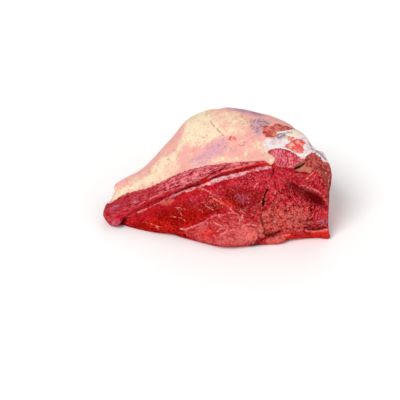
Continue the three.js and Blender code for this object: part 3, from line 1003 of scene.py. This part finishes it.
def shown(red, green, blue):
    """The paint that shows as a given screen colour, from 0 to 255, in the scene's light."""
    linear = [((c / 255 + 0.055) / 1.055) ** 2.4 if c > 10 else c / 255 / 12.92 for c in (red, green, blue)]
    return (*(c * EXPOSURE for c in linear), 1.0)


print("full red as paint:", [round(c, 3) for c in shown(255, 0, 0)])

# %% [markdown]
# ## Patterns that several finishes share
#
# All patterns read Object coordinates, so they stay where they are when the piece moves. The piece lies at
# the origin in metres, while the helpers take the width of clouds and lines in millimetres.

# %% Clouds, fibres and curls


def coordinates():
    return Wire.node("ShaderNodeTexCoord", output=3)


def along(direction, stretch):
    """Object coordinates drawn out along a direction, for grain that runs one way."""
    turn = Vector(direction).to_track_quat("X", "Z").to_euler()
    values = {"Vector": coordinates(), "Rotation": turn, "Scale": (stretch, 1, 1)}
    return Wire.node("ShaderNodeMapping", {"vector_type": "TEXTURE"}, values)


def swirled(amount, width):
    """Object coordinates pushed about by noise, so that clouds and lines wander."""
    values = {"Vector": coordinates(), "Scale": 1 / (width * MM)}
    push = Wire.node("ShaderNodeTexNoise", None, values, output=1)
    centred = Wire.node("ShaderNodeVectorMath", {"operation": "SUBTRACT"}, {0: push, 1: (0.5, 0.5, 0.5)})
    sized = Wire.node("ShaderNodeVectorMath", {"operation": "SCALE"}, {0: centred, "Scale": 2 * amount * MM})
    return Wire.node("ShaderNodeVectorMath", {"operation": "ADD"}, {0: coordinates(), 1: sized})


def grain(width, detail=3.0, vector=None, distortion=0.0):
    """Cloudy noise around 0, mostly from -0.25 to 0.25."""
    values = {"Vector": vector or coordinates(), "Scale": 1 / (width * MM), "Detail": detail}
    values["Distortion"] = distortion
    return Wire.node("ShaderNodeTexNoise", None, values) - 0.5


def curls(width, thin, vector=None):
    """1 on wandering lines and 0 between them, where a noise passes through 0."""
    return abs(grain(width, 2, vector, 0.4)).ramp(thin, 0)


# %% [markdown]
# ## The lean
#
# Fresh beef is a deep, slightly blue red. Along the grain it is smooth and shows long faint fibres and white
# threads of connective tissue. Across the grain it is paler and broken into bundles. The strip of cap muscle
# above the seam is pulled into strands that run along the seam. Wet meat has a sharp, weak gloss, and sparse
# pale specks are painted on as glints.
#
# Each colour below is one that the photograph shows. The factor of a noise says how strongly that noise
# shows.

# %% Main muscle, along and across the grain
STREAK_ON_LEAN = (0.82, -0.1, -0.57)
DEEP_RED = shown(146, 8, 6)
FRESH_RED = shown(208, 32, 24)
STREAK_PINK = shown(232, 84, 80)
CUT_RED = shown(158, 4, 18)
CUT_PALE = shown(242, 62, 74)
LOW_PINK = shown(228, 112, 96)
# the dark red between bundles, also painted as shade in folds, creases and the recess
GAP_AND_SHADE_RED = shown(100, 2, 4)
CURL_PINK = shown(255, 166, 160)
NET_VIOLET = shown(176, 44, 84)


def along_the_grain(blotches, fine, specks):
    streaks = grain(1.3, 3, along(STREAK_ON_LEAN, 5), 0.4)
    return layered(
        DEEP_RED,
        (FRESH_RED, (blotches * 2.4 + streaks * 3.2 + fine * 2.6 + 0.42).ramp()),
        (STREAK_PINK, (streaks + specks * 0.6).ramp(0.12, 0.26) * 0.5))


def across_the_grain(blotches, fine, wisps, gaps, pale_curls, painted_glints):
    return layered(
        CUT_RED,
        (CUT_PALE, (wisps * 3.6 + fine * 2.7 + blotches * 2.2 + 0.45).ramp()),
        (LOW_PINK, dabs("low_right", 0.55 + wisps * 2.6 + fine, 0.75)),
        (GAP_AND_SHADE_RED, gaps * 0.75),
        (CURL_PINK, (pale_curls * 0.7 + painted_glints * 0.6).ramp()))


def netted(meat, blotches, fine, wisps, painted_glints):
    """Meat under a net of fine pale curls and painted glints."""
    net_curls = curls(4, 0.04, swirled(3, 6))
    return layered(
        meat,
        (NET_VIOLET, (blotches * 2 + wisps * 2 + 0.2).ramp() * 0.5),
        (CURL_PINK, (net_curls * 0.6 + painted_glints * 0.4) * (0.4 + fine * 3).ramp()))


# %% Cap muscle and pale apron
STRAND_DARK = shown(172, 34, 54)
STRAND_PALE = shown(252, 142, 150)
STRIP_DEEP = shown(142, 6, 24)
STRIP_ROSE = shown(210, 58, 68)
LOW_STRIP_RED = shown(204, 8, 24)
EDGE_RED_AND_HIGHLIGHT = shown(226, 52, 78)
APRON_RED = shown(178, 24, 34)
APRON_PINK = shown(214, 84, 82)
LOBE_ROSE = shown(192, 54, 60)
LOBE_PINK = shown(226, 106, 104)


def cap_muscle(fine, wisps, strands):
    calm = mix(STRIP_DEEP, STRIP_ROSE, (wisps * 1.4 + fine * 1.8 + strands * 1.4 + 0.56).ramp())
    low = mix(LOW_STRIP_RED, EDGE_RED_AND_HIGHLIGHT, (strands * 4 + 0.3).ramp())
    return layered(
        STRAND_DARK,
        (STRAND_PALE, (strands * 3.8 + fine * 2.2 + grain(7, 3) * 1.6 + 0.46).ramp()),
        (calm, mask("strip_smooth") * 0.85),
        (low, mask("low_strip") * 0.85),
        (STRAND_DARK, dabs("tip_shade", 0.5 + wisps * 2, 0.6)))


def apron(blotches, fine, wisps, fibres, pale_curls):
    """The pale meat at the foot, with a smooth lobe in its middle."""
    lobe = mix(LOBE_ROSE, LOBE_PINK, (blotches * 2.4 + wisps * 2 + fine * 2 + fibres * 1.6 + 0.45).ramp())
    return layered(
        APRON_RED,
        (APRON_PINK, (fibres * 4 + wisps * 2.6 + fine * 1.4 + blotches * 2 + 0.42).ramp()),
        (CURL_PINK, pale_curls * 0.5),
        (lobe, (mask("pale_lobe") + wisps * 3).ramp(0.1, 1.2)))


# %% Small patches, and the pale hem with its painted highlight
DOWN_THE_FRONT = (0.1, -0.6, -0.8)
PATCH_ROSE = shown(196, 54, 76)
PATCH_PINK = shown(242, 134, 142)
DRIED_BROWN = shown(140, 40, 38)
DRIED_PALE = shown(216, 106, 98)
HEM_PALE_AND_HIGHLIGHT = shown(255, 212, 214)
HEM_GREY = shown(232, 126, 146)


def pink_patch(fine):
    upright = grain(1.5, 3, along(DOWN_THE_FRONT, 4))
    return mix(PATCH_ROSE, PATCH_PINK, (upright * 3 + fine * 2 + grain(8, 2) * 2 + 0.5).ramp())


def dried_meat(fine, wisps):
    return mix(DRIED_BROWN, DRIED_PALE, (wisps * 1.6 + fine * 2 + 0.5).ramp())


def hem_and_highlight_colour(fine, specks):
    pale = mix(HEM_PALE_AND_HIGHLIGHT, HEM_GREY, (specks * 3 + fine * 4 + grain(6, 2) * 3 + 0.35).ramp())
    return mix(EDGE_RED_AND_HIGHLIGHT, pale, mask("hem_white"))


# %% The whole lean
FIBRE_DIRECTION = (0.93, -0.12, -0.34)
CRIMSON_AND_HIGHLIGHT_RED = shown(216, 40, 68)
BRIGHT_RED = shown(240, 36, 18)
ROSY_AND_HIGHLIGHT = shown(255, 126, 114)
LILAC_AND_SHEEN = shown(206, 136, 170)
TAN = shown(204, 132, 108)
TORN_BROWN = shown(140, 92, 74)
CRACK_SHADE = shown(66, 0, 2)
SLIT_SHADE = shown(34, 4, 4)
RIDGE_HIGHLIGHT_PINK = shown(255, 142, 140)
THREAD_PALE = shown(246, 160, 146)


def lean_finish():
    """Colour, roughness and height in millimetres of the lean."""
    cut, strip, net = mask("cut_grain"), mask("cap_strip"), mask("network")
    blotches = grain(17, 3)
    fine = grain(2.6, 4)
    specks = grain(1.7, 2)
    wisps = grain(4.2, 3, swirled(2.5, 5), 1.2)
    fibres = grain(1.5, 4, along(FIBRE_DIRECTION, 5))
    strands = grain(1.6, 4, along(SEAM_DIRECTION, 6), 0.8)
    pale_curls = curls(3.6, 0.045, swirled(2, 4)) * (0.4 + grain(8, 2) * 4).ramp()
    gaps = curls(4, 0.05, swirled(2.5, 5)) * (0.5 + blotches * 3).ramp()
    # Painted highlights: sparse pale specks stand for glints on the wet meat.
    painted_glints = specks.ramp(0.12, 0.2)
    shaded_crack = (mask("shaded_crack") + fine * 3).ramp(1.05, 0.2)
    lit_ridge = (mask("ridge_highlight") + grain(3, 2) * 3).ramp(1.3, 0.3) * (0.6 + fine * 3).ramp()
    thread = (mask("thread") + grain(3, 2) * 1.6).ramp(0.72, 0.2) * (0.6 + fine * 2.6).ramp()
    hem = (mask("hem") + grain(3.4, 3) * 4 + grain(11, 2) * 3.4).ramp(-0.8, 0.8)
    smooth = along_the_grain(blotches, fine, specks)
    colour = layered(
        smooth,
        (across_the_grain(blotches, fine, wisps, gaps, pale_curls, painted_glints), cut),
        (netted(smooth, blotches, fine, wisps, painted_glints), net),
        # crimson, partly a painted highlight
        (CRIMSON_AND_HIGHLIGHT_RED, dabs("crimson_and_highlight", 0.5 + wisps * 2, 0.6)),
        # painted shade in the hollows
        (DEEP_RED, dabs("hollow_shade", 0.6 + fibres * 2, 0.7)),
        (cap_muscle(fine, wisps, strands), strip),
        # painted highlight along the strip
        (STRAND_PALE, dabs("strip_highlight", 0.3 + strands * 3, 0.4)),
        (apron(blotches, fine, wisps, fibres, pale_curls), (mask("apron") + wisps + fine).ramp(0.15, 0.75)),
        # painted highlight on the ledges
        (EDGE_RED_AND_HIGHLIGHT, (mask("ledge_highlight") + fine * 5).ramp(4.5, 0.4) * (0.5 + fibres * 3).ramp() * 0.7),
        (pink_patch(fine), mask("pink_patch")),
        (BRIGHT_RED, dabs("bright", 0.7 + wisps * 2.4, 0.9)),
        # pink meat, partly painted highlights
        (ROSY_AND_HIGHLIGHT, dabs("rosy_and_highlight", 0.6 + wisps * 2, 0.8)),
        # lilac tint, partly a painted sheen
        (LILAC_AND_SHEEN, dabs("lilac_and_sheen", 0.5 + fine * 3.4, 0.75)),
        (dried_meat(fine, wisps), (mask("dried") + fine).ramp(0.3, 0.8)),
        (TAN, mask("tan") * (0.85 + fine)),
        (TORN_BROWN, mask("torn")),
        # Painted shade: darker red in the folds, the recess under the lip, the carved creases and shaded
        # places, dark lines in cracks and under flaps, and a near-black knife slit.
        (GAP_AND_SHADE_RED, mask("fold") * 0.4),
        (GAP_AND_SHADE_RED, dabs("recess_shade", 0.75 + wisps * 1.6, 0.85)),
        (GAP_AND_SHADE_RED, mask("crease_shade") * 0.9),
        (CRACK_SHADE, shaded_crack * 0.6),
        (SLIT_SHADE, (mask("shaded_slit") + fine * 3).ramp(1.5, 0.6)),
        # painted highlights on the ridges
        (RIDGE_HIGHLIGHT_PINK, lit_ridge * 0.85),
        # pale hem, partly a painted highlight along the muscle's lit edge
        (hem_and_highlight_colour(fine, specks), hem * (0.75 + fine * 2.6 + strands * 2).ramp()),
        (THREAD_PALE, thread))
    height = fine * 0.9 + (cut + net) * (pale_curls * 0.15 - gaps * 0.25 + wisps * 1.6)
    height = height + strip * strands * 1.1 + specks * 0.2 + fibres * 0.3
    height = height + thread * 0.1 + hem * specks * 0.6 - shaded_crack * 0.3
    return colour, 0.46 + fine * 0.4 - hem * 0.1, height


lean_coat = lean_finish()
print("nodes with the lean:", len(Wire.tree.nodes))

# %% [markdown]
# ## The fat and the silver skin
#
# Cold beef fat is cream to pale pink and waxy. Thin spots let the meat show through as lilac. Silver skin is
# a tight, shiny, bluish membrane. Where it was torn off, brownish meat is bare.

# %% Fat
STREAK_DIRECTION = (-0.7, -0.6, -0.35)
FAT_PINK = shown(250, 182, 174)
FAT_ROSE = shown(244, 166, 160)
FAT_PEACH = shown(252, 206, 178)
CREAM = shown(254, 232, 198)
LILAC_PALE = shown(238, 172, 182)
LILAC = shown(192, 144, 192)
SLATE_PALE = shown(216, 174, 188)
SLATE = shown(120, 96, 122)
GOLD = shown(226, 150, 104)
GOLD_DARK = shown(184, 98, 66)


def fat_finish():
    blotches = grain(12, 4)
    fine = grain(2.8, 4)
    dots = grain(1.8, 2)
    pits = curls(4.6, 0.045, swirled(4, 6)) * grain(9, 2).ramp(-0.02, 0.14)
    streaks = grain(1.3, 4, along(STREAK_DIRECTION, 8), 0.3)
    cream, peach = mask("cream"), mask("peach")
    colour = layered(
        FAT_PINK,
        (FAT_ROSE, (blotches * 2 + fine * 4.4 + 0.1).ramp(0, 0.8)),
        (FAT_PEACH, ((cream + peach) * 0.5 + blotches * 1.8 + fine * 1.6 + 0.12).ramp(0.1, 0.6) * 0.9),
        (CREAM, (cream + peach * 0.6 + blotches * 2.4 + fine * 2.4 + dots).ramp(0.45, 1.15)),
        (LILAC_PALE, mask("lilac") * 0.5),
        (LILAC, dabs("lilac", 0.3 + grain(4, 4, distortion=1) * 3.6, 0.7)),
        (SLATE_PALE, mask("streaked") * 0.6),
        (SLATE, dabs("streaked", 0.35 + streaks * 5, 0.85)),
        (GOLD, (pits * 0.55 + dots.ramp(0.12, 0.26) * 0.22).ramp()),
        (GOLD_DARK, (mask("golden") + grain(3, 2) * 3).ramp(1.4, 0.1) * 0.55))
    height = blotches * 0.9 + fine * 0.5 - pits * 0.25 + grain(1.1, 2) * 0.15
    return colour, 0.5 + fine * 0.25, height


fat_coat = fat_finish()
print("nodes with the fat:", len(Wire.tree.nodes))

# %% Silver skin
SILVER_DIRECTION = (0.9, 0.1, -0.4)
SILVER = shown(250, 236, 232)
SILVER_BLUE = shown(214, 212, 226)
SILVER_PINK = shown(246, 196, 194)


def silver_finish():
    streaks = grain(2.4, 4, along(SILVER_DIRECTION, 4), 0.5)
    clouds = grain(7, 4)
    colour = layered(
        SILVER,
        (SILVER_BLUE, (streaks * 3.4 + clouds * 2.4 + 0.35).ramp()),
        (SILVER_PINK, (clouds * 4 + streaks * 2 + 0.3).ramp() * 0.8),
        (CREAM, dabs("peach", 0.8 + streaks * 3, 0.8)),
        (SLATE, dabs("streaked", 0.45 + streaks * 5, 0.8)))
    return colour, 0.34 + streaks * 0.2, streaks * 0.6 + clouds * 0.5


silver_coat = silver_finish()
print("nodes with the silver skin:", len(Wire.tree.nodes))

# %% Bared meat
BARE_BROWN = shown(184, 70, 64)
BARE_PALE = shown(236, 138, 124)
BARE_RED = shown(232, 82, 84)
BARE_PEACH = shown(255, 180, 158)


def bare_finish():
    fine = grain(2.2, 4)
    wisps = grain(3.4, 3, distortion=1.2)
    colour = mix(BARE_BROWN, BARE_PALE, (fine * 3.4 + grain(7, 3) * 3 + wisps * 1.4 + 0.45).ramp())
    fresh = mix(BARE_RED, BARE_PEACH, (grain(6, 3) * 3.4 + wisps * 1.4 + fine + 0.42).ramp())
    return mix(colour, fresh, mask("fresh")), 0.45 + fine * 0.2, fine * 0.8 - 0.4


bare_coat = bare_finish()
print("nodes with the bared meat:", len(Wire.tree.nodes))

# %% [markdown]
# ## One material from four finishes
#
# The finishes are laid over one another as they lie on the meat: silver skin on the fat, bared meat where
# both are gone, and the lean wherever the fat ends. Four materials with hard borders would be simpler, but
# fat and lean fray into each other, so one material blends colour, roughness and height together.

# %% Where each finish shows
WHITE_AND_HIGHLIGHT = shown(255, 250, 250)


def over(below, above, share):
    """One finish laid over another."""
    colour = mix(below[0], above[0], share)
    return colour, mix_numbers(below[1], above[1], share), mix_numbers(below[2], above[2], share)


edge_noise = grain(3.2, 4)
in_fat = (mask("fat") + edge_noise * 3.4).ramp(-0.5, 0.5)
in_silver = (mask("silver") + edge_noise * 5 + grain(9, 3) * 6).ramp(-1.6, 1.6)
in_bare = (mask("bare") + edge_noise * 4).ramp(-0.45, 0.45)
# slate lines, partly painted shadow
slate_and_shadow = (mask("slate_and_shadow") + edge_noise * 2).ramp(1.3, 0.3)
# white lines, partly painted highlights
white_and_highlight = (mask("white_and_highlight") + edge_noise * 2).ramp(1.5, 0.4)
cap_coat = over(fat_coat, silver_coat, in_silver)
cap_coat = over(over(cap_coat, (SLATE, 0.4, -0.1), slate_and_shadow * 0.7), (WHITE_AND_HIGHLIGHT, 0.3, 0.5), white_and_highlight * 0.9)
cap_coat = over(cap_coat, bare_coat, in_bare)
meat_coat = over(lean_coat, cap_coat, in_fat)
print("nodes with all finishes:", len(Wire.tree.nodes))

# %% The shader's sockets
colour, rough, height = meat_coat
varying = {
    "Base Color": colour,
    "Roughness": rough,
    "Normal": Wire.node("ShaderNodeBump", None, {"Height": height, "Strength": 1.0, "Distance": MM}),
    "Coat Weight": grain(1.9, 2).ramp(0.08, 0.2) * 0.45,
}
FLESH = {
    "Coat Roughness": 0.2,
    "Specular IOR Level": 0.0,
    "Subsurface Weight": 0.1,
    "Subsurface Radius": (1.0, 0.25, 0.15),
    "Subsurface Scale": 2.5 * MM,
}

shader = Wire.tree.nodes["Principled BSDF"]
for name, wire in varying.items():
    Wire.tree.links.new(wire.socket, shader.inputs[name])
for name, value in FLESH.items():
    shader.inputs[name].default_value = value
print("nodes in the material:", len(Wire.tree.nodes))

# %% The piece takes its material and its place in the frame
beef.data.materials.clear()
beef.data.materials.append(material)
beef.data.shade_smooth()
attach(beef, "root")
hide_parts("beef_top_round")
print("piece:", beef.name, "with", [material.name for material in beef.data.materials])

# %% [markdown]
# ## Floor and light
#
# A wide pale floor and three soft lamps, as in a small photo studio: one above the front left, a weak one
# above the right and a weaker one behind. A bright even surround fills the shadows.

# %% The floor
FLOOR_SIZE = 6.0
FLOOR_WHITE = (0.97, 0.97, 0.965, 1)
FLOOR_ROUGHNESS = 0.7


def make_floor():
    bm = bmesh.new()
    bmesh.ops.create_grid(bm, x_segments=1, y_segments=1, size=FLOOR_SIZE / 2)
    mesh = bpy.data.meshes.new("floor")
    bm.to_mesh(mesh)
    bm.free()
    floor = bpy.data.objects.new("floor", mesh)
    bpy.context.scene.collection.objects.link(floor)
    material = bpy.data.materials.new("pale floor")
    material.use_nodes = True
    shader = material.node_tree.nodes["Principled BSDF"]
    shader.inputs["Base Color"].default_value = FLOOR_WHITE
    shader.inputs["Roughness"].default_value = FLOOR_ROUGHNESS
    mesh.materials.append(material)


make_floor()
print("floor, metres across:", FLOOR_SIZE)

# %% Lamps and surround
SURROUND = {"Color": (1, 1, 1, 1), "Strength": 0.42}
LAMPS = {  # the direction from the meat to the lamp, the strength, and the spread in degrees
    "key": ((-0.5, -0.6, 0.85), 2.1, 30),
    "side": ((0.8, -0.5, 0.6), 0.5, 60),
    "back": ((0.2, 0.7, 0.8), 0.35, 40),
}


def lamp(name, direction, strength, spread):
    """A soft lamp far away, so that the floor is lit evenly."""
    data = bpy.data.lights.new(name, "SUN")
    data.energy = strength
    data.angle = math.radians(spread)
    made = bpy.data.objects.new(name, data)
    made.rotation_euler = (-Vector(direction)).to_track_quat("-Z", "Y").to_euler()
    bpy.context.scene.collection.objects.link(made)


for name, (direction, strength, spread) in LAMPS.items():
    lamp(name, direction, strength, spread)
world = bpy.data.worlds.new("surround")
world.use_nodes = True
for name, value in SURROUND.items():
    world.node_tree.nodes["Background"].inputs[name].default_value = value
bpy.context.scene.world = world
bpy.context.scene.view_settings.view_transform = "Standard"
